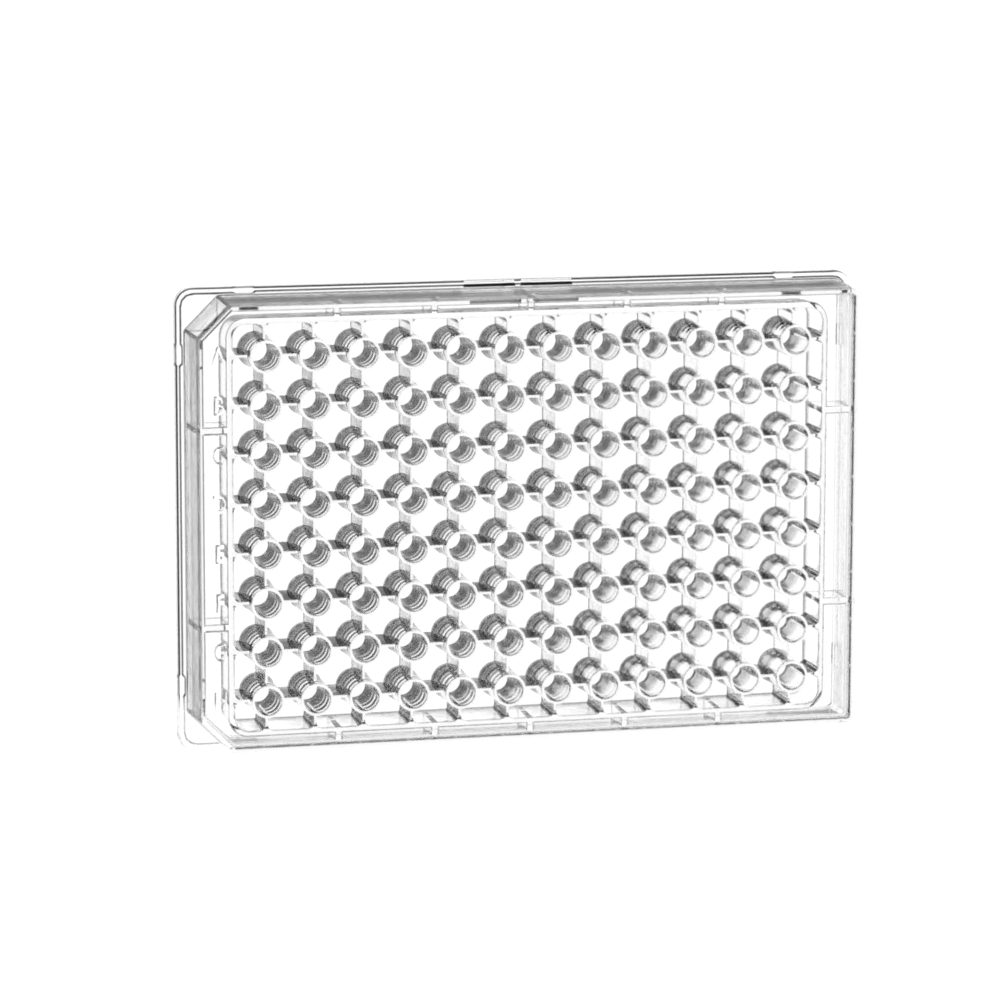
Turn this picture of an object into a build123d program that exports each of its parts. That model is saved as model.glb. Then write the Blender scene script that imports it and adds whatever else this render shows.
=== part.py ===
from build123d import *
import math
import os

# A clear 96-well half-area microplate, moulded in one piece.
#
# The origin is at the centre of the base. +X runs from column 1 to column 12, +Y runs towards row A
# and +Z is up. Every size is in millimetres.
#
# The plate is one solid. A low skirt carries a leaning outer wall with two cut corners. The wall's
# rim stands round a deck, and the deck stands round a sunken field. In the field 96 chimney wells
# stand on a thin floor, tied to each other and to the field's wall by upright webs. Under the deck
# the plate is hollow, with ribs across.

# Footprint and height
plate_length = 127.76
plate_width = 85.48
plate_height = 14.4
footprint_radius = 3.18
skirt_height = 2.4
skirt_thickness = 0.8
ledge_thickness = 1.0

# Outer wall, which leans in towards the rim and thickens towards its foot
ledge_end_width = 2.13
ledge_side_width = 1.94
rim_thickness = 0.9
rim_radius = 1.5
corner_cut = 5.9
outer_wall_thickness = 1.1
outer_wall_draft = 2.8
outer_wall_inner_draft = 1.95

# Deck and the sunken field
deck_level = 12.4
deck_thickness = 1.0
deck_end_width = 5.65
deck_side_width = 2.7
field_radius = 2.5
field_draft = 1.5
field_wall_thickness = 1.0
field_wall_outer_draft = 0.5
floor_level = 3.3
floor_thickness = 1.0

# Wells
columns = 12
rows = 8
well_pitch = 9.0
well_mouth_diameter = 4.97
well_floor_diameter = 4.6
well_depth = 10.9
chimney_diameter = 6.06
chimney_draft = 0.75

# Webs between the wells
web_thickness = 0.55
row_web_draft = 0.6
column_web_draft = 0.25

# Ribs across the hollow under the deck
rib_thickness = 1.0
rib_pitches = 2
rib_bottom_level = 3.3
long_side_ribs = 5
short_side_ribs = 2

# Skirt corners, which are thicker, with a pad at each end of the thin stretches
corner_thickening = 0.2
pad_thickness = 0.3
pad_length = 4.0
long_side_corner_length = 14.88
short_side_corner_length = 14.24

# Gusset under the ledge in the middle of the row A side, where the plate is filled
gate_length = 20.4
gate_gap = 1.2
gate_base_clearance = 0.2
gate_boss_length = 5.4
gate_boss_step = 0.3

# Levels and sizes that follow from those above
rim_length = plate_length - 2 * ledge_end_width
rim_width = plate_width - 2 * ledge_side_width
rim_height = plate_height - deck_level
field_length = rim_length - 2 * (rim_thickness + deck_end_width)
field_width = rim_width - 2 * (rim_thickness + deck_side_width)
long_side_thin_length = plate_length - 2 * long_side_corner_length
short_side_thin_length = plate_width - 2 * short_side_corner_length
hollow_top_level = deck_level - deck_thickness
ledge_bottom_level = skirt_height - ledge_thickness
floor_bottom_level = floor_level - floor_thickness
skirt_inner_length = plate_length - 2 * skirt_thickness
skirt_inner_width = plate_width - 2 * skirt_thickness
rib_spacing = rib_pitches * well_pitch


def lean(depth, draft):
    """How far a drafted face moves sideways over a depth."""
    return depth * math.tan(math.radians(draft))


def rim_outline(inset):
    """The rim's outline, moved inwards: the corners of column 1 are cut, the others round."""
    Rectangle(rim_length, rim_width)
    chamfer(vertices().group_by(Axis.X)[0], corner_cut)
    fillet(vertices().group_by(Axis.X)[-1], rim_radius)
    if inset:
        offset(amount=-inset, kind=Kind.INTERSECTION)


with BuildPart() as well_plate:
    # Skirt and outer wall
    with BuildSketch():
        RectangleRounded(plate_length, plate_width, footprint_radius)
    extrude(amount=skirt_height)
    with BuildSketch(Plane.XY.offset(plate_height)):
        rim_outline(0)
    extrude(amount=-(plate_height - skirt_height), taper=-outer_wall_draft)

    # The deck, sunk inside the rim
    with BuildSketch(Plane.XY.offset(plate_height)):
        rim_outline(rim_thickness)
    extrude(amount=-rim_height, mode=Mode.SUBTRACT)

    # The hollow inside the skirt, which is thicker at the corners and has pads beside them
    with BuildSketch():
        RectangleRounded(
            skirt_inner_length - 2 * corner_thickening,
            skirt_inner_width - 2 * corner_thickening,
            footprint_radius - skirt_thickness - corner_thickening,
        )
        Rectangle(long_side_thin_length, skirt_inner_width)
        Rectangle(skirt_inner_length, short_side_thin_length)
        with GridLocations(long_side_thin_length + pad_length, skirt_inner_width, 2, 2):
            Rectangle(pad_length, 2 * (corner_thickening + pad_thickness), mode=Mode.SUBTRACT)
        with GridLocations(skirt_inner_length, short_side_thin_length + pad_length, 2, 2):
            Rectangle(2 * (corner_thickening + pad_thickness), pad_length, mode=Mode.SUBTRACT)
    extrude(amount=ledge_bottom_level, mode=Mode.SUBTRACT)

    # The hollow inside the outer wall
    with BuildSketch(Plane.XY.offset(hollow_top_level)):
        rim_outline(outer_wall_thickness - lean(plate_height - hollow_top_level, outer_wall_draft))
    extrude(amount=-hollow_top_level, taper=-outer_wall_inner_draft, mode=Mode.SUBTRACT)

    # The gusset, in two halves with a thicker boss between them
    skirt_inner_face = skirt_inner_width / 2
    boss_leg = ledge_bottom_level - gate_base_clearance
    for leg, length in ((boss_leg - gate_boss_step, gate_length), (boss_leg, gate_boss_length)):
        with BuildSketch(Plane.YZ.offset(gate_gap / 2)):
            with BuildLine():
                Polyline(
                    (skirt_inner_face, ledge_bottom_level),
                    (skirt_inner_face - leg, ledge_bottom_level),
                    (skirt_inner_face, ledge_bottom_level - leg),
                    close=True,
                )
            make_face()
        half = extrude(amount=(length - gate_gap) / 2)
        mirror(half, about=Plane.YZ)

    # Ribs across the hollow
    with BuildSketch(Plane.XY.offset(rib_bottom_level)):
        with GridLocations(rib_spacing, 0, long_side_ribs, 1):
            Rectangle(rib_thickness, rim_width)
        with GridLocations(0, 2 * rib_spacing, 1, short_side_ribs):
            Rectangle(rim_length, rib_thickness)
    extrude(amount=hollow_top_level - rib_bottom_level)

    # The field's wall and floor, with the field open above
    with BuildSketch(Plane.XY.offset(deck_level)):
        RectangleRounded(
            field_length + 2 * field_wall_thickness,
            field_width + 2 * field_wall_thickness,
            field_radius + field_wall_thickness,
        )
    extrude(amount=-(deck_level - floor_bottom_level), taper=field_wall_outer_draft)
    with BuildSketch(Plane.XY.offset(deck_level)):
        RectangleRounded(field_length, field_width, field_radius)
    extrude(amount=-(deck_level - floor_level), taper=field_draft, mode=Mode.SUBTRACT)

    # Webs along the rows, and along the columns
    with BuildSketch(Plane.XY.offset(deck_level)):
        with GridLocations(0, well_pitch, 1, rows):
            Rectangle(field_length, web_thickness)
    extrude(amount=-(deck_level - floor_level), taper=-row_web_draft)
    with BuildSketch(Plane.XY.offset(deck_level)):
        with GridLocations(well_pitch, 0, columns, 1):
            Rectangle(web_thickness, field_width)
    extrude(amount=-(deck_level - floor_level), taper=-column_web_draft)

    # Chimneys and their wells
    chimney_height = plate_height - floor_level
    chimney_foot = chimney_diameter / 2 + lean(chimney_height, chimney_draft)
    upright = (Align.CENTER, Align.CENTER, Align.MIN)
    with Locations((0, 0, floor_level)):
        with GridLocations(well_pitch, well_pitch, columns, rows):
            Cone(chimney_foot, chimney_diameter / 2, chimney_height, align=upright)
    with Locations((0, 0, plate_height - well_depth)):
        with GridLocations(well_pitch, well_pitch, columns, rows):
            Cone(
                well_floor_diameter / 2,
                well_mouth_diameter / 2,
                well_depth,
                align=upright,
                mode=Mode.SUBTRACT,
            )

well_plate.part.label = "well_plate"
os.makedirs("parts", exist_ok=True)
export_step(well_plate.part, "parts/well_plate.step")
print("volume in mm3:", round(well_plate.part.volume))
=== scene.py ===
"""The looks of a clear well plate: one moulded piece of polystyrene that stands on a light panel.

The plate's mesh is built here from the same sizes as the CAD part, with the small radii, fillets
and drafts that make clear plastic readable, and it stands for the CAD node. +X runs from column 1
to column 12, +Y runs towards row A and +Z is up. Sizes of the plate are in millimetres, and the
finished mesh is scaled to the frame's metres.
"""

import math

import bmesh
import bpy
from mathutils import Matrix, Vector

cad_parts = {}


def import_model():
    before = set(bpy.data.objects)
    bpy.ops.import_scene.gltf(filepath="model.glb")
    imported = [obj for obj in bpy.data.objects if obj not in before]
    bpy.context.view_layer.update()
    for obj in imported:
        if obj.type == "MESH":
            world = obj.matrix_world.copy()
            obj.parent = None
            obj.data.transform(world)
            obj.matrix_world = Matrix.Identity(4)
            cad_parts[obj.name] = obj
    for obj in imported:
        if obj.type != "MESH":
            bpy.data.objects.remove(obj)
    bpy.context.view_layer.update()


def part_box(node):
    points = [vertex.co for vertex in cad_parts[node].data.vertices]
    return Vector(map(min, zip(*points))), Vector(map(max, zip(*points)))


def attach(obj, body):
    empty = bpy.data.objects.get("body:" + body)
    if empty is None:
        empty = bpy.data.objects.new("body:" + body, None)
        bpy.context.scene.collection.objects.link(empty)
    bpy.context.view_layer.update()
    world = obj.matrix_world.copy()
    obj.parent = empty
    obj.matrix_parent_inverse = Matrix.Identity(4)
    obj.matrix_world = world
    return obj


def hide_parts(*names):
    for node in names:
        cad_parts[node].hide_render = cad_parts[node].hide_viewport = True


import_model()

METRES_PER_MM = 0.001

# ---------------------------------------------------------------- sizes of the plate, in mm
LENGTH, WIDTH, HEIGHT = ((high - low) / METRES_PER_MM for low, high in zip(*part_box("well_plate")))
COLUMNS, ROWS, PITCH = 12, 8, 9.0

# Skirt: thicker at its corners, with a pad at each end of its thin stretches
FOOTPRINT_RADIUS = 3.18
SKIRT_HEIGHT = 2.4
SKIRT_THICKNESS = 0.8
SKIRT_FOOT_EDGE, SKIRT_TOP_EDGE = 0.3, 0.45
LEDGE_THICKNESS = 1.0
LEDGE_BOTTOM = SKIRT_HEIGHT - LEDGE_THICKNESS
CORNER_THICKENING = 0.2
PAD_THICKNESS = 0.3
PAD_LENGTH = 4.0
PAD_SLOPE = 0.5
PAD_FILLET = 0.4
LONG_THIN_LENGTH, SHORT_THIN_LENGTH = 98.0, 57.0

# Outer wall and its rim
LEDGE_END_WIDTH, LEDGE_SIDE_WIDTH = 2.13, 1.94
RIM_LENGTH, RIM_WIDTH = LENGTH - 2 * LEDGE_END_WIDTH, WIDTH - 2 * LEDGE_SIDE_WIDTH
RIM_THICKNESS = 0.9
RIM_RADIUS = 1.5
CORNER_CUT = 5.9
CUT_RADIUS = 0.4
RIM_RADII = [CUT_RADIUS, RIM_RADIUS, RIM_RADIUS, CUT_RADIUS, CUT_RADIUS, CUT_RADIUS]
WALL_THICKNESS = 1.1
WALL_DRAFT, WALL_INNER_DRAFT = 2.8, 1.95
WALL_FILLET = 0.3
WALL_SPREAD = 1.0

# Deck, and the hollow under it
DECK_LEVEL = 12.4
DECK_THICKNESS = 1.0
DECK_END_WIDTH, DECK_SIDE_WIDTH = 5.65, 2.7
DECK_FILLET = 0.35
HOLLOW_TOP = DECK_LEVEL - DECK_THICKNESS
HOLLOW_FILLET = 0.5

# Field, sunk into the deck: its end walls are steeper inside, and its row H wall leans more outside
FIELD_LENGTH = RIM_LENGTH - 2 * (RIM_THICKNESS + DECK_END_WIDTH)
FIELD_WIDTH = RIM_WIDTH - 2 * (RIM_THICKNESS + DECK_SIDE_WIDTH)
FIELD_RADIUS = 2.5
FIELD_DRAFT, FIELD_END_DRAFT = 1.5, 0.2
FIELD_FILLET = 0.5
FIELD_SPREAD = 0.5
FIELD_WALL = 1.0
FIELD_WALL_DRAFT, FIELD_WALL_H_DRAFT = 0.5, 1.2
FIELD_WALL_FILLET = 0.3
FIELD_WALL_SPREAD = 0.6
FLOOR_LEVEL = 3.3
FLOOR_THICKNESS = 1.0
FLOOR_BOTTOM = FLOOR_LEVEL - FLOOR_THICKNESS
FLOOR_EDGE = 0.4

# Chimneys and their wells
MOUTH_RADIUS = 2.485
WELL_FLOOR_RADIUS = 2.24
WELL_FLOOR_FILLET = 0.25
WELL_DEPTH = 10.9
CHIMNEY_RADIUS = 3.03
CHIMNEY_DRAFT = 0.95
CHIMNEY_FILLET = 0.3
CHIMNEY_SPREAD = 0.5
WELL_SEGMENTS = 48

# Webs, which flare where they meet the field's wall
WEB_THICKNESS = 0.55
ROW_WEB_DRAFT, COLUMN_WEB_DRAFT = 0.45, 0.2
WEB_FLARE = 1.0
FLARE_STEPS = 4
FLARE_MARGIN = 0.05
FLARE_DEPTH = 0.4
FLARE_BITE = 0.03

# Ribs across the hollow
RIB_THICKNESS = 1.0
RIB_SPACING = 18.0
RIB_BOTTOM = 3.3
RIB_DRAFT = 0.5
RIB_FILLET = 0.4
RIB_SPREAD = 0.5
LONG_RIBS, SHORT_RIBS = 5, 2

# Gusset under the ledge in the middle of the row A side, where the plate is filled
GATE_LENGTH = 20.4
GATE_GAP = 1.2
GATE_CLEARANCE = 0.2
GATE_BOSS_LENGTH = 5.4
GATE_BOSS_STEP = 0.3
GATE_OVERLAP = 0.1

# Row letters: their sizes are those before the squeeze along x, y and z
LETTERS = "ABCDEFGH"
LETTER_SIZE = 4.4
LETTER_RELIEF = 0.3
LETTER_BEVEL = 0.2
LETTER_SQUEEZE = (0.75, 1.0, 0.4)
LETTER_X = 57.9
LETTER_CURVE_STEPS = 3
LETTER_WELD = 0.001

# Radii of the sharper edges, and how finely arcs are divided
EDGE = 0.2
SMALL_EDGE = 0.1
LEAST_RADIUS = 0.02
ARC_STEPS = 3
CORNER_STEPS = 8

# How solids are made to overlap cleanly: BITE is how deep one is sunk into the next, OVERCUT how
# far a cut goes past the face that it opens, HAIR a step too small to see, and CAP and DECK_CAP how
# far inside its outline a solid's flat end starts. Each SPREAD above is how far a foot or a mouth
# goes on sideways, out of sight, where it meets the next solid
BITE = 0.3
OVERCUT = 1.0
HAIR = 0.01
CAP, DECK_CAP = 4.0, 3.0

# ---------------------------------------------------------------- looks
WHITE, BLACK = (1, 1, 1, 1), (0, 0, 0, 1)
POLYSTYRENE_IOR = 1.59
RIPPLE_SCALE = 300.0
RIPPLE_DEPTH = 1e-5
SHARP_ANGLE = 35

# Place and aim in mm, turn in degrees, reach in metres, and focal length over sensor width
CAMERA_PLACE = (-205.91, 145.86, 832.09)
CAMERA_AIM = (-2.95, 1.47, 0.0)
CAMERA_TURN = 0.104
CAMERA_REACH = 10
LENS_RATIO = 4.6937
SENSOR_WIDTH = 36

# The panel that is the scene's floor: its side and how far it lies under the plate, in metres, and
# how brightly light finds it. Each fade gives the slant, from 0 for upright light to 1 for grazing
# light, at which it starts and ends
PANEL_SIDE = 4.0
PANEL_DROP = 0.0002
PANEL_GLOW = 1.15
REFLECTED_GLOW = 1.05
BENT_GLOW = 0.5
ODD_FADE = (0.08, 0.2)
EVEN_FADE = (0.5, 0.95)
BENT_FADE = (0.1, 0.3)

# How much of the light that is thrown sideways misses the panel: two places along x or y, in
# metres, and the share that misses it at each
MISSED_BY_COLUMN = (-0.04, 0.04, 1, 0)
MISSED_AT_ROW_A = (0.0355, 0.038, 0, 1)
MISSED_PAST_ROW_H = (-0.036, -0.031, 0, 1)

# The sky along an axis: two directions, by their share of the axis, and the brightness at each
SKY_AXIS = (0.5, -0.85, 0.0)
SKY_FADE = (-0.2, 0.7, 0.02, 0.9)

GAMMA = 0.6
MAX_BOUNCES = 64
GLOSSY_BOUNCES = 10
PIXEL_FILTER = 2.2


# ---------------------------------------------------------------- outlines and profiles
def lean(depth, draft):
    """How far a drafted face moves sideways over a depth."""
    return depth * math.tan(math.radians(draft))


def rounded(points, radii, steps=ARC_STEPS, closed=True):
    """The path through points, with an arc of the given radius at each, divided into steps."""
    path = []
    count = len(points)
    for i, (point, radius) in enumerate(zip(points, radii)):
        here = Vector(point)
        if not closed and i in (0, count - 1) or radius <= 0:
            path.append(here)
            continue
        back = (Vector(points[i - 1]) - here).normalized()
        ahead = (Vector(points[(i + 1) % count]) - here).normalized()
        half = back.angle(ahead) / 2
        reach = radius / math.tan(half)
        centre = here + (back + ahead).normalized() * (radius / math.sin(half))
        start, end = here + back * reach - centre, here + ahead * reach - centre
        turn = start.angle_signed(end)
        for step in range(steps + 1):
            angle = -turn * step / steps
            path.append(centre + Matrix.Rotation(angle, 2) @ start)
    return path


def grown(points, amount):
    """A closed outline, drawn anticlockwise, with every side moved outwards by amount."""
    moved = []
    count = len(points)
    for i in range(count):
        before, here, after = (Vector(points[j % count]) for j in (i - 1, i, i + 1))
        side_in, side_out = (here - before).normalized(), (after - here).normalized()
        normal_in = Vector((side_in.y, -side_in.x))
        normal_out = Vector((side_out.y, -side_out.x))
        moved.append(here + (normal_in + normal_out) * amount / (1 + normal_in.dot(normal_out)))
    return moved


def box_outline(length, width):
    """A rectangle about the origin."""
    x, y = length / 2, width / 2
    return [(-x, -y), (x, -y), (x, y), (-x, y)]


def rim_outline():
    """The rim: a rectangle with the two corners at column 1 cut off. RIM_RADII go with it."""
    x, y, cut = RIM_LENGTH / 2, RIM_WIDTH / 2, CORNER_CUT
    return [(-x + cut, -y), (x, -y), (x, y), (-x + cut, y), (-x, y - cut), (-x, -y + cut)]


# ---------------------------------------------------------------- solids
def solid(name, bm):
    """An object made from bm's faces."""
    mesh = bpy.data.meshes.new(name)
    bmesh.ops.recalc_face_normals(bm, faces=bm.faces)
    bm.to_mesh(mesh)
    bm.free()
    piece = bpy.data.objects.new(name, mesh)
    bpy.context.scene.collection.objects.link(piece)
    return piece


def add_loft(bm, rings):
    """A closed solid through rings of points, each with as many points as the others."""
    loops = [[bm.verts.new(point) for point in ring] for ring in rings]
    count = len(loops[0])
    for lower, upper in zip(loops, loops[1:]):
        for i in range(count):
            j = (i + 1) % count
            bm.faces.new((lower[i], lower[j], upper[j], upper[i]))
    bm.faces.new(reversed(loops[0]))
    bm.faces.new(loops[-1])


def stack(name, outline, radii, profile):
    """A solid whose outline grows and shrinks with height: profile holds (grow, z) pairs."""
    bm = bmesh.new()
    rings = []
    for grow, z in profile:
        radii_here = [max(radius + grow, LEAST_RADIUS) for radius in radii]
        ring = rounded(grown(outline, grow), radii_here, CORNER_STEPS)
        rings.append([(x, y, z) for x, y in ring])
    add_loft(bm, rings)
    return solid(name, bm)


def add_bar(bm, outline, centre, profile):
    """A solid round a centre whose outline, with sharp corners, grows and shrinks with height."""
    rings = []
    for grow, z in profile:
        rings.append([(x + centre[0], y + centre[1], z) for x, y in grown(outline, grow)])
    add_loft(bm, rings)


def add_lathe(bm, profile, x, y):
    """A body of revolution about the upright axis at x, y. The profile starts and ends on it."""
    loops = []
    for radius, z in profile[1:-1]:
        loop = []
        for i in range(WELL_SEGMENTS):
            angle = 2 * math.pi * i / WELL_SEGMENTS
            place = (x + radius * math.cos(angle), y + radius * math.sin(angle), z)
            loop.append(bm.verts.new(place))
        loops.append(loop)
    ends = [bm.verts.new((x, y, profile[0][1])), bm.verts.new((x, y, profile[-1][1]))]
    for i in range(WELL_SEGMENTS):
        j = (i + 1) % WELL_SEGMENTS
        bm.faces.new((ends[0], loops[0][j], loops[0][i]))
        bm.faces.new((ends[1], loops[-1][i], loops[-1][j]))
        for lower, upper in zip(loops, loops[1:]):
            bm.faces.new((lower[i], lower[j], upper[j], upper[i]))


def join(base, tool, operation):
    """Adds the tool to the base, or cuts it away, and removes the tool."""
    modifier = base.modifiers.new(operation, "BOOLEAN")
    modifier.operation = operation
    modifier.solver = "MANIFOLD"
    modifier.object = tool
    depsgraph = bpy.context.evaluated_depsgraph_get()
    result = bpy.data.meshes.new_from_object(base.evaluated_get(depsgraph))
    base.modifiers.clear()
    old = base.data
    base.data = result
    bpy.data.meshes.remove(old)
    old_tool = tool.data
    bpy.data.objects.remove(tool)
    bpy.data.meshes.remove(old_tool)


# ---------------------------------------------------------------- the plate's parts
def skirt():
    """The skirt with the ledge on it, still full."""
    profile = rounded(
        [(-CAP, 0), (0, 0), (0, SKIRT_HEIGHT), (-CAP, SKIRT_HEIGHT)],
        [0, SKIRT_FOOT_EDGE, SKIRT_TOP_EDGE, 0],
        closed=False,
    )
    return stack("plate", box_outline(LENGTH, WIDTH), [FOOTPRINT_RADIUS] * 4, profile)


def outer_wall():
    """The leaning wall, still full, with a small fillet at its foot."""
    foot = lean(HEIGHT - SKIRT_HEIGHT, WALL_DRAFT)
    profile = rounded(
        [
            (foot + WALL_SPREAD, SKIRT_HEIGHT - BITE),
            (foot + WALL_SPREAD, SKIRT_HEIGHT - HAIR),
            (foot, SKIRT_HEIGHT),
            (0, HEIGHT),
            (-RIM_THICKNESS / 2, HEIGHT),
        ],
        [0, 0, WALL_FILLET, EDGE, 0],
        closed=False,
    )
    return stack("wall", rim_outline(), RIM_RADII, profile)


def deck_recess():
    """The space over the deck, inside the rim."""
    profile = rounded(
        [
            (-DECK_CAP, DECK_LEVEL),
            (-RIM_THICKNESS, DECK_LEVEL),
            (-RIM_THICKNESS, HEIGHT),
            (-RIM_THICKNESS / 2, HEIGHT + HAIR / 2),
            (-RIM_THICKNESS / 2, HEIGHT + OVERCUT),
        ],
        [0, DECK_FILLET, EDGE, 0, 0],
        closed=False,
    )
    return stack("recess", rim_outline(), RIM_RADII, profile)


def skirt_space():
    """The space inside the skirt, which is smaller at the corners and beside the pads."""
    x, y = LENGTH / 2 - SKIRT_THICKNESS, WIDTH / 2 - SKIRT_THICKNESS
    thin_x, thin_y = LONG_THIN_LENGTH / 2, SHORT_THIN_LENGTH / 2
    corner_x, corner_y = x - CORNER_THICKENING, y - CORNER_THICKENING
    pad_x, pad_y = corner_x - PAD_THICKNESS, corner_y - PAD_THICKNESS
    quarter = [
        (x, 0, 0),
        (x, thin_y, PAD_FILLET),
        (pad_x, thin_y + PAD_SLOPE, PAD_FILLET),
        (pad_x, thin_y + PAD_LENGTH - PAD_SLOPE, PAD_FILLET),
        (corner_x, thin_y + PAD_LENGTH, PAD_FILLET),
        (corner_x, corner_y, FOOTPRINT_RADIUS - SKIRT_THICKNESS),
        (thin_x + PAD_LENGTH, corner_y, PAD_FILLET),
        (thin_x + PAD_LENGTH - PAD_SLOPE, pad_y, PAD_FILLET),
        (thin_x + PAD_SLOPE, pad_y, PAD_FILLET),
        (thin_x, y, PAD_FILLET),
        (0, y, 0),
    ]
    outline, radii = [], []
    for sx, sy in ((1, 1), (-1, 1), (-1, -1), (1, -1)):
        points = quarter if sx * sy > 0 else quarter[::-1]
        for px, py, radius in points[:-1]:
            outline.append((sx * px, sy * py))
            radii.append(radius)
    profile = rounded(
        [(0, -OVERCUT), (0, LEDGE_BOTTOM), (-CAP, LEDGE_BOTTOM)],
        [0, HOLLOW_FILLET, 0],
        closed=False,
    )[:-1]
    rings = []
    for grow, z in profile:
        rings.append([(px, py, z) for px, py in rounded(grown(outline, grow), radii)])
    bm = bmesh.new()
    add_loft(bm, rings)
    return solid("skirt_space", bm)


def hollow():
    """The space under the deck, inside the outer wall."""
    inner = -WALL_THICKNESS + lean(HEIGHT - HOLLOW_TOP, WALL_DRAFT)
    foot = inner + lean(HOLLOW_TOP, WALL_INNER_DRAFT)
    profile = rounded(
        [(foot, 0), (inner, HOLLOW_TOP), (inner - DECK_CAP, HOLLOW_TOP)],
        [0, HOLLOW_FILLET, 0],
        closed=False,
    )
    profile.insert(0, Vector((foot, -OVERCUT)))
    return stack("hollow", rim_outline(), RIM_RADII, profile)


def ribs():
    """Ribs across the hollow, drafted, with a fillet where they meet the deck."""
    foot = -lean(HOLLOW_TOP - RIB_BOTTOM, RIB_DRAFT)
    profile = rounded(
        [(foot, RIB_BOTTOM), (0, HOLLOW_TOP), (RIB_SPREAD, HOLLOW_TOP)],
        [0, RIB_FILLET, 0],
        closed=False,
    )
    profile.append(Vector((RIB_SPREAD, HOLLOW_TOP + BITE)))
    bm = bmesh.new()
    for i in range(LONG_RIBS):
        x = (i - (LONG_RIBS - 1) / 2) * RIB_SPACING
        add_bar(bm, box_outline(RIB_THICKNESS, RIM_WIDTH), (x, 0), profile)
    for i in range(SHORT_RIBS):
        y = (i - (SHORT_RIBS - 1) / 2) * 2 * RIB_SPACING
        add_bar(bm, box_outline(RIM_LENGTH, RIB_THICKNESS), (0, y), profile)
    return solid("ribs", bm)


def field_block():
    """The solid that the field is sunk into: its wall and floor, seen from outside."""
    profile = rounded(
        [
            (-CAP, FLOOR_BOTTOM),
            (FIELD_WALL - lean(DECK_LEVEL - FLOOR_BOTTOM, FIELD_WALL_DRAFT), FLOOR_BOTTOM),
            (FIELD_WALL, HOLLOW_TOP),
            (FIELD_WALL + FIELD_WALL_SPREAD, HOLLOW_TOP + HAIR),
            (FIELD_WALL + FIELD_WALL_SPREAD, DECK_LEVEL - DECK_THICKNESS / 2),
        ],
        [0, FLOOR_EDGE, FIELD_WALL_FILLET, 0, 0],
        closed=False,
    )
    block = stack("block", box_outline(FIELD_LENGTH, FIELD_WIDTH), [FIELD_RADIUS] * 4, profile)
    for vertex in block.data.vertices:
        if vertex.co.y < 0:
            below = max(DECK_LEVEL - vertex.co.z, 0)
            vertex.co.y += lean(below, FIELD_WALL_H_DRAFT) - lean(below, FIELD_WALL_DRAFT)
    return block


def field_space():
    """The space inside the field, before the webs and chimneys stand in it."""
    profile = rounded(
        [
            (-CAP, FLOOR_LEVEL),
            (-lean(DECK_LEVEL - FLOOR_LEVEL, FIELD_DRAFT), FLOOR_LEVEL),
            (0, DECK_LEVEL),
            (FIELD_SPREAD, DECK_LEVEL + HAIR / 2),
            (FIELD_SPREAD, DECK_LEVEL + OVERCUT),
        ],
        [0, FIELD_FILLET, EDGE, 0, 0],
        closed=False,
    )
    space = stack("field", box_outline(FIELD_LENGTH, FIELD_WIDTH), [FIELD_RADIUS] * 4, profile)
    for vertex in space.data.vertices:
        below = max(DECK_LEVEL - vertex.co.z, 0)
        steeper = lean(below, FIELD_DRAFT) - lean(below, FIELD_END_DRAFT)
        vertex.co.x += math.copysign(steeper, vertex.co.x)
    return space


def well_places():
    """The x and y of each well's axis."""
    for column in range(COLUMNS):
        for row in range(ROWS):
            yield (column - (COLUMNS - 1) / 2) * PITCH, (row - (ROWS - 1) / 2) * PITCH


def wells():
    """Every chimney with its well: one profile that goes up outside and down inside."""
    foot = CHIMNEY_RADIUS + lean(HEIGHT - FLOOR_LEVEL, CHIMNEY_DRAFT)
    profile = rounded(
        [
            (0, FLOOR_LEVEL - BITE),
            (foot + CHIMNEY_SPREAD, FLOOR_LEVEL - BITE),
            (foot + CHIMNEY_SPREAD, FLOOR_LEVEL - HAIR),
            (foot, FLOOR_LEVEL),
            (CHIMNEY_RADIUS, HEIGHT),
            (MOUTH_RADIUS, HEIGHT),
            (WELL_FLOOR_RADIUS, HEIGHT - WELL_DEPTH),
            (0, HEIGHT - WELL_DEPTH),
        ],
        [0, 0, 0, CHIMNEY_FILLET, SMALL_EDGE, SMALL_EDGE, WELL_FLOOR_FILLET, 0],
        closed=False,
    )
    bm = bmesh.new()
    for x, y in well_places():
        add_lathe(bm, profile, x, y)
    return solid("wells", bm)


def web_profile(draft):
    """Half the thickness of a web at each height, rounded at its top edge."""
    top = WEB_THICKNESS / 2
    foot = top + lean(DECK_LEVEL - FLOOR_LEVEL, draft)
    return rounded(
        [(foot, FLOOR_LEVEL - BITE), (foot, FLOOR_LEVEL), (top, DECK_LEVEL), (0, DECK_LEVEL)],
        [0, 0, SMALL_EDGE, 0],
        closed=False,
    )[:-1]


def add_web(bm, start, end, draft, flare_at_end=False):
    """A web from start to end. A flared end spreads into the field's wall."""
    start, end = Vector(start), Vector(end)
    along = (end - start).normalized()
    across = Vector((-along.y, along.x))
    length = (end - start).length
    rings = []
    for half, z in web_profile(draft):
        if flare_at_end:
            spread = half + WEB_FLARE + FLARE_MARGIN
            shape = rounded(
                [
                    (0, -half),
                    (length, -half),
                    (length, -spread),
                    (length + FLARE_DEPTH, -spread),
                    (length + FLARE_DEPTH, spread),
                    (length, spread),
                    (length, half),
                    (0, half),
                ],
                [0, WEB_FLARE, 0, 0, 0, 0, WEB_FLARE, 0],
                FLARE_STEPS,
            )
        else:
            shape = [(0, -half), (length, -half), (length, half), (0, half)]
        ring = [start + along * s + across * t for s, t in shape]
        rings.append([(p.x, p.y, z) for p in ring])
    add_loft(bm, rings)


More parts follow.
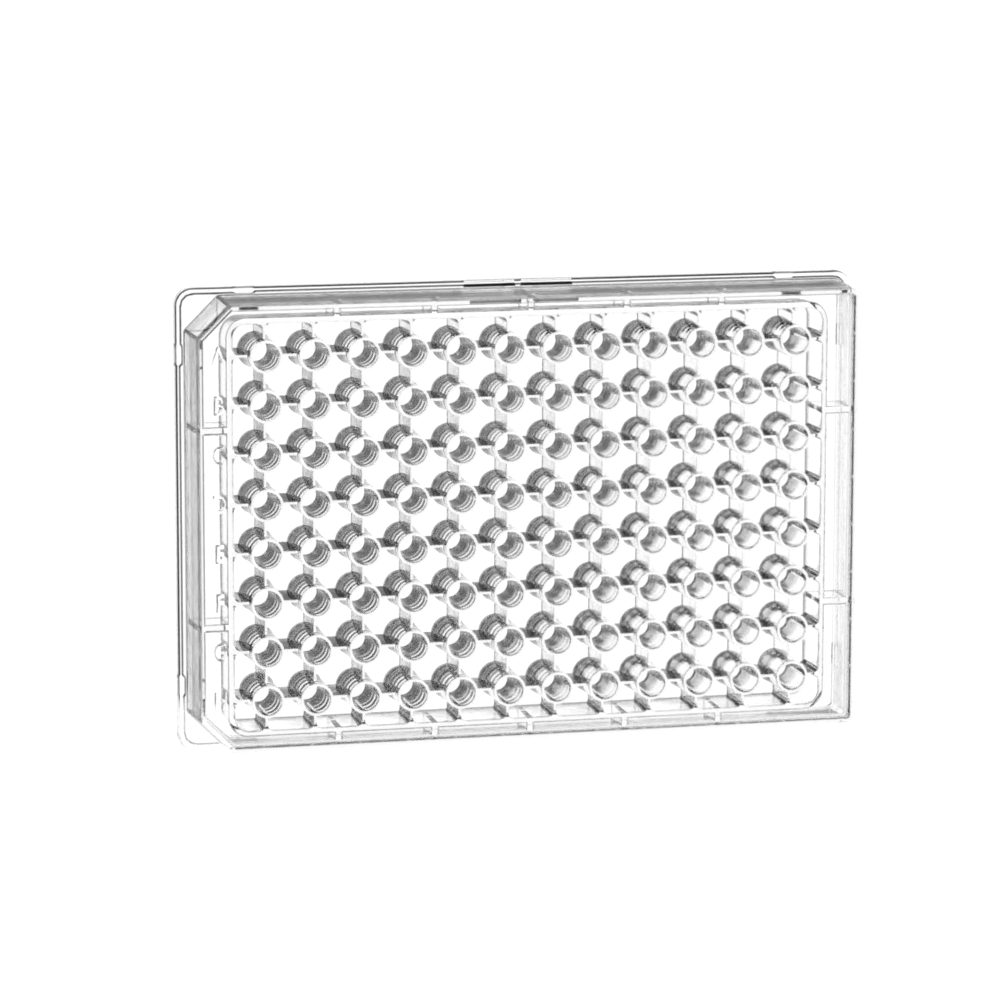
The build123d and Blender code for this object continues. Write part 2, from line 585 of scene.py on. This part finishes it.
def webs():
    """Webs between neighbouring chimneys, and from the outer chimneys to the field's wall."""
    bm = bmesh.new()
    seat = (MOUTH_RADIUS + CHIMNEY_RADIUS) / 2
    wall_x, wall_y = FIELD_LENGTH / 2 + FLARE_BITE, FIELD_WIDTH / 2 + FLARE_BITE
    last_x, last_y = (COLUMNS - 1) / 2 * PITCH, (ROWS - 1) / 2 * PITCH
    for x, y in well_places():
        if x < last_x:
            add_web(bm, (x + seat, y), (x + PITCH - seat, y), ROW_WEB_DRAFT)
        else:
            add_web(bm, (x + seat, y), (wall_x, y), ROW_WEB_DRAFT, True)
            add_web(bm, (-x - seat, y), (-wall_x, y), ROW_WEB_DRAFT, True)
        if y < last_y:
            add_web(bm, (x, y + seat), (x, y + PITCH - seat), COLUMN_WEB_DRAFT)
        else:
            add_web(bm, (x, y + seat), (x, wall_y), COLUMN_WEB_DRAFT, True)
            add_web(bm, (x, -y - seat), (x, -wall_y), COLUMN_WEB_DRAFT, True)
    return solid("webs", bm)


def gate(leg, start, end):
    """A stretch of the gusset on the row A side, from start to end on both sides of its gap."""
    face, top = WIDTH / 2 - SKIRT_THICKNESS, LEDGE_BOTTOM
    section = [
        (face + BITE, top + BITE),
        (face - leg, top + BITE),
        (face - leg, top),
        (face, top - leg),
        (face + BITE, top - leg),
    ]
    bm = bmesh.new()
    for side in (-1, 1):
        add_loft(bm, [[(side * x, y, z) for y, z in section] for x in (start, end)])
    return solid("gate", bm)


def row_letters():
    """The letters in relief on the deck beside column 1, from row A down, sunk a little into it."""
    bm = bmesh.new()
    for row, letter in enumerate(LETTERS):
        curve = bpy.data.curves.new("letter", "FONT")
        curve.body = letter
        curve.size = LETTER_SIZE
        curve.extrude = LETTER_RELIEF - LETTER_BEVEL
        curve.bevel_depth = LETTER_BEVEL
        curve.bevel_resolution = 0
        curve.align_x, curve.align_y = "CENTER", "CENTER"
        curve.resolution_u = LETTER_CURVE_STEPS
        text = bpy.data.objects.new("letter", curve)
        bpy.context.scene.collection.objects.link(text)
        depsgraph = bpy.context.evaluated_depsgraph_get()
        mesh = bpy.data.meshes.new_from_object(text.evaluated_get(depsgraph))
        mesh.transform(Matrix.Diagonal((*LETTER_SQUEEZE, 1)))
        place = (-LETTER_X, ((ROWS - 1) / 2 - row) * PITCH, DECK_LEVEL)
        mesh.transform(Matrix.Translation(place))
        bm.from_mesh(mesh)
        bpy.data.objects.remove(text)
        bpy.data.meshes.remove(mesh)
    bmesh.ops.remove_doubles(bm, verts=bm.verts, dist=LETTER_WELD)
    return solid("letters", bm)


def build_plate():
    """The whole plate as one closed mesh, in metres."""
    plate = skirt()
    join(plate, outer_wall(), "UNION")
    join(plate, deck_recess(), "DIFFERENCE")
    join(plate, skirt_space(), "DIFFERENCE")
    join(plate, hollow(), "DIFFERENCE")
    join(plate, ribs(), "UNION")
    boss, boss_end = LEDGE_BOTTOM - GATE_CLEARANCE, GATE_BOSS_LENGTH / 2
    join(plate, gate(boss, GATE_GAP / 2, boss_end), "UNION")
    join(plate, gate(boss - GATE_BOSS_STEP, boss_end - GATE_OVERLAP, GATE_LENGTH / 2), "UNION")
    join(plate, field_block(), "UNION")
    join(plate, field_space(), "DIFFERENCE")
    join(plate, webs(), "UNION")
    join(plate, wells(), "UNION")
    join(plate, row_letters(), "UNION")
    plate.data.transform(Matrix.Scale(METRES_PER_MM, 4))
    return plate


# ---------------------------------------------------------------- nodes
def put(tree, value, socket):
    """Sets a socket to a number, or links another node's output to it."""
    if isinstance(value, (int, float)):
        socket.default_value = value
    else:
        tree.links.new(value, socket)


def ramp(tree, source, start, end, first, last):
    """Goes smoothly from first to last while the source goes from start to end."""
    node = tree.nodes.new("ShaderNodeMapRange")
    node.interpolation_type = "SMOOTHSTEP"
    names = ("Value", "From Min", "From Max", "To Min", "To Max")
    for name, value in zip(names, (source, start, end, first, last)):
        put(tree, value, node.inputs[name])
    return node.outputs["Result"]


def calculate(tree, operation, *values):
    """One step of arithmetic."""
    node = tree.nodes.new("ShaderNodeMath")
    node.operation = operation
    for value, socket in zip(values, node.inputs):
        put(tree, value, socket)
    return node.outputs[0]


def choose(tree, condition, when_true, when_false):
    """One value where the condition is 1, and the other where it is 0."""
    difference = calculate(tree, "SUBTRACT", when_true, when_false)
    return calculate(tree, "MULTIPLY_ADD", condition, difference, when_false)


# ---------------------------------------------------------------- material, floor, camera, sky
def clear_polystyrene():
    """Clear plastic with the faint ripple of a moulded surface."""
    material = bpy.data.materials.new("clear_polystyrene")
    material.use_nodes = True
    tree = material.node_tree
    shader = tree.nodes["Principled BSDF"]
    shader.inputs["Base Color"].default_value = WHITE
    shader.inputs["Roughness"].default_value = 0.0
    shader.inputs["IOR"].default_value = POLYSTYRENE_IOR
    shader.inputs["Transmission Weight"].default_value = 1.0
    ripple = tree.nodes.new("ShaderNodeTexNoise")
    ripple.inputs["Scale"].default_value = RIPPLE_SCALE
    bump = tree.nodes.new("ShaderNodeBump")
    bump.inputs["Distance"].default_value = RIPPLE_DEPTH
    place = tree.nodes.new("ShaderNodeTexCoord").outputs["Object"]
    tree.links.new(place, ripple.inputs["Vector"])
    tree.links.new(ripple.outputs[0], bump.inputs["Height"])
    tree.links.new(bump.outputs["Normal"], shader.inputs["Normal"])
    return material


def panel_glow(tree):
    """How brightly the floor glows, as a light panel of limited size does under clear plastic.

    Light that comes straight, or through plastic with level faces, finds the panel evenly pale.
    Light that the plastic bends arrives aslant and finds it dimmer. After an even number of
    reflections in the plastic, light goes nearly the way it came and misses the panel only when far
    aslant. After an odd number it is thrown sideways, and when it is even a little aslant it misses
    the panel: more and more so from column 12 to column 1, fully at the row A side, and not at all
    at the row H side.
    """
    weight = tree.nodes.new("ShaderNodeLayerWeight")
    weight.inputs["Blend"].default_value = 0.5
    slant = weight.outputs["Facing"]
    path = tree.nodes.new("ShaderNodeLightPath").outputs
    place = tree.nodes.new("ShaderNodeSeparateXYZ")
    tree.links.new(tree.nodes.new("ShaderNodeTexCoord").outputs["Object"], place.inputs[0])
    x, y = place.outputs["X"], place.outputs["Y"]

    by_column = ramp(tree, x, *MISSED_BY_COLUMN)
    at_row_a = ramp(tree, y, *MISSED_AT_ROW_A)
    past_row_h = ramp(tree, y, *MISSED_PAST_ROW_H)
    column_or_row_a = calculate(tree, "MAXIMUM", by_column, at_row_a)
    missed = calculate(tree, "MULTIPLY", column_or_row_a, past_row_h)
    thrown = calculate(tree, "MULTIPLY_ADD", missed, -REFLECTED_GLOW, REFLECTED_GLOW)

    is_odd = calculate(tree, "MODULO", path["Glossy Depth"], 2)
    is_reflected = calculate(tree, "GREATER_THAN", path["Glossy Depth"], 0.5)
    is_through = calculate(tree, "GREATER_THAN", path["Transmission Depth"], 0.5)
    odd = ramp(tree, slant, *ODD_FADE, REFLECTED_GLOW, thrown)
    even = ramp(tree, slant, *EVEN_FADE, REFLECTED_GLOW, 0)
    bent = ramp(tree, slant, *BENT_FADE, PANEL_GLOW, BENT_GLOW)
    not_reflected = choose(tree, is_through, bent, PANEL_GLOW)
    return choose(tree, is_reflected, choose(tree, is_odd, odd, even), not_reflected)


def floor():
    """A plain pale floor just under the plate, lit from inside like a light panel."""
    mesh = bpy.data.meshes.new("floor")
    corners = [(x, y, 0) for x, y in box_outline(PANEL_SIDE, PANEL_SIDE)]
    mesh.from_pydata(corners, [], [(0, 1, 2, 3)])
    piece = bpy.data.objects.new("floor", mesh)
    bpy.context.scene.collection.objects.link(piece)
    piece.location.z = -PANEL_DROP
    material = bpy.data.materials.new("floor")
    material.use_nodes = True
    tree = material.node_tree
    shader = tree.nodes["Principled BSDF"]
    shader.inputs["Base Color"].default_value = BLACK
    shader.inputs["Roughness"].default_value = 1.0
    shader.inputs["Specular IOR Level"].default_value = 0.0
    shader.inputs["Emission Color"].default_value = WHITE
    tree.links.new(panel_glow(tree), shader.inputs["Emission Strength"])
    mesh.materials.append(material)


def camera():
    """The camera at the photograph's viewing angle, almost straight above the plate."""
    data = bpy.data.cameras.new("camera")
    piece = bpy.data.objects.new("camera", data)
    bpy.context.scene.collection.objects.link(piece)
    bpy.context.scene.camera = piece
    data.sensor_width = SENSOR_WIDTH
    data.lens = LENS_RATIO * data.sensor_width
    data.clip_end = CAMERA_REACH
    forward = (Vector(CAMERA_AIM) - Vector(CAMERA_PLACE)).normalized()
    right = forward.cross(Vector((0, 1, 0))).normalized()
    matrix = Matrix((right, right.cross(forward), -forward)).transposed().to_4x4()
    matrix.translation = Vector(CAMERA_PLACE) * METRES_PER_MM
    piece.matrix_world = matrix @ Matrix.Rotation(math.radians(CAMERA_TURN), 4, "Z")


def world():
    """A soft sky, bright towards column 12 and row H and dark towards column 1 and row A."""
    sky = bpy.data.worlds.new("studio")
    bpy.context.scene.world = sky
    sky.use_nodes = True
    tree = sky.node_tree
    along = tree.nodes.new("ShaderNodeVectorMath")
    along.operation = "DOT_PRODUCT"
    along.inputs[1].default_value = SKY_AXIS
    tree.links.new(tree.nodes.new("ShaderNodeTexCoord").outputs["Generated"], along.inputs[0])
    background = tree.nodes["Background"]
    background.inputs["Color"].default_value = WHITE
    put(tree, ramp(tree, along.outputs["Value"], *SKY_FADE), background.inputs["Strength"])


# ---------------------------------------------------------------- the scene
plate = build_plate()
plate.name = "plate_body"
plate.data.materials.clear()
plate.data.materials.append(clear_polystyrene())
plate.data.shade_smooth()
plate.data.set_sharp_from_angle(angle=math.radians(SHARP_ANGLE))
weighted = plate.modifiers.new("weighted", "WEIGHTED_NORMAL")
weighted.keep_sharp = True
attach(plate, "root")
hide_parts("well_plate")
floor()
camera()
world()

scene = bpy.context.scene
scene.view_settings.view_transform = "Standard"
scene.view_settings.gamma = GAMMA
scene.cycles.max_bounces = MAX_BOUNCES
scene.cycles.transmission_bounces = MAX_BOUNCES
scene.cycles.glossy_bounces = GLOSSY_BOUNCES
scene.cycles.filter_width = PIXEL_FILTER
